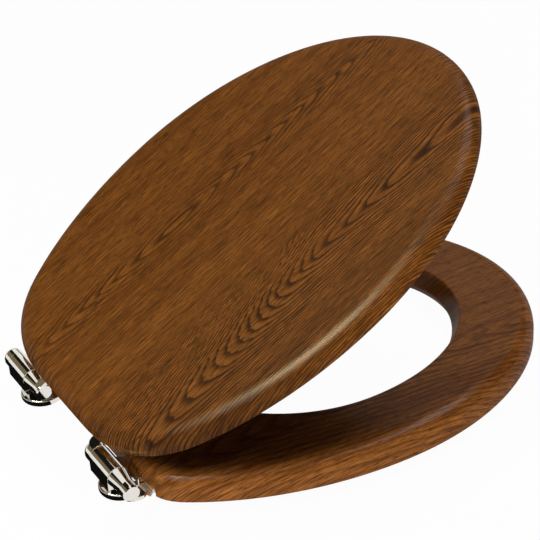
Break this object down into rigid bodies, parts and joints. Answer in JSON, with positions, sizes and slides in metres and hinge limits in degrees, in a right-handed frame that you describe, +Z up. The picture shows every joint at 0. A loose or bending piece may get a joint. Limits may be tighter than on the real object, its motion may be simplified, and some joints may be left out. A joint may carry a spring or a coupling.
{
  "type": "toilet seat with lid",
  "caption": "Wood toilet seat with a lid and chrome damped hinges: an egg-shaped ring with a flared opening, a rounded board lid held part open, rubber buffers and adjustable fixing feet.",
  "frame": {"origin": "midway between the two fixing holes, on the pan surface that the hinge gaskets stand on", "axes": "+Z up off the pan, the front of the seat towards -Y, +X along the hinge axis"},
  "size_m": [0.37, 0.4424, 0.2542],
  "materials": {
    "lid_wood": "satin lacquered brown wood grain",
    "seat_wood": "satin lacquered brown wood grain",
    "chrome": "bright plated",
    "plate_steel": "plain",
    "screw_steel": "zinc plated",
    "buffer_rubber": "matte pale grey",
    "gasket_rubber": "matte black",
    "damper_plastic": "moulded",
    "washer_plastic": "moulded"
  },
  "bodies": {
    "hinge_base": {"left_foot": "chrome", "left_gasket": "gasket_rubber", "left_post": "chrome", "left_fixing_nut": "plate_steel", "left_damper": "damper_plastic", "left_pivot_pin": "plate_steel", "left_lid_washer": "washer_plastic", "left_seat_washer": "washer_plastic", "right_foot": "chrome", "right_gasket": "gasket_rubber", "right_post": "chrome", "right_fixing_nut": "plate_steel", "right_damper": "damper_plastic", "right_pivot_pin": "plate_steel", "right_lid_washer": "washer_plastic", "right_seat_washer": "washer_plastic"},
    "seat": {"seat_ring": "seat_wood", "seat_buffer_front_left": "buffer_rubber", "seat_buffer_front_right": "buffer_rubber", "seat_buffer_rear_left": "buffer_rubber", "seat_buffer_rear_right": "buffer_rubber", "seat_buffer_screws": "screw_steel", "left_seat_leaf": "chrome", "left_seat_screws": "screw_steel", "right_seat_leaf": "chrome", "right_seat_screws": "screw_steel", "right_damper_spindle": "plate_steel"},
    "cover": {"lid": "lid_wood", "lid_buffer_left": "buffer_rubber", "lid_buffer_right": "buffer_rubber", "lid_buffer_screws": "screw_steel", "left_lid_leaf": "chrome", "left_lid_screws": "screw_steel", "right_lid_leaf": "chrome", "right_lid_screws": "screw_steel", "left_damper_spindle": "plate_steel"}
  },
  "joints": [
    {"name": "seat_hinge", "type": "hinge", "parent": "hinge_base", "child": "seat", "pos_m": [0, 0.0114, 0.0293], "axis": [-1, 0, 0], "range_deg": [0, 90]},
    {"name": "lid_hinge", "type": "hinge", "parent": "seat", "child": "cover", "pos_m": [0, 0.0114, 0.0293], "axis": [-1, 0, 0], "range_deg": [-29.1, 65.9]}
  ]
}
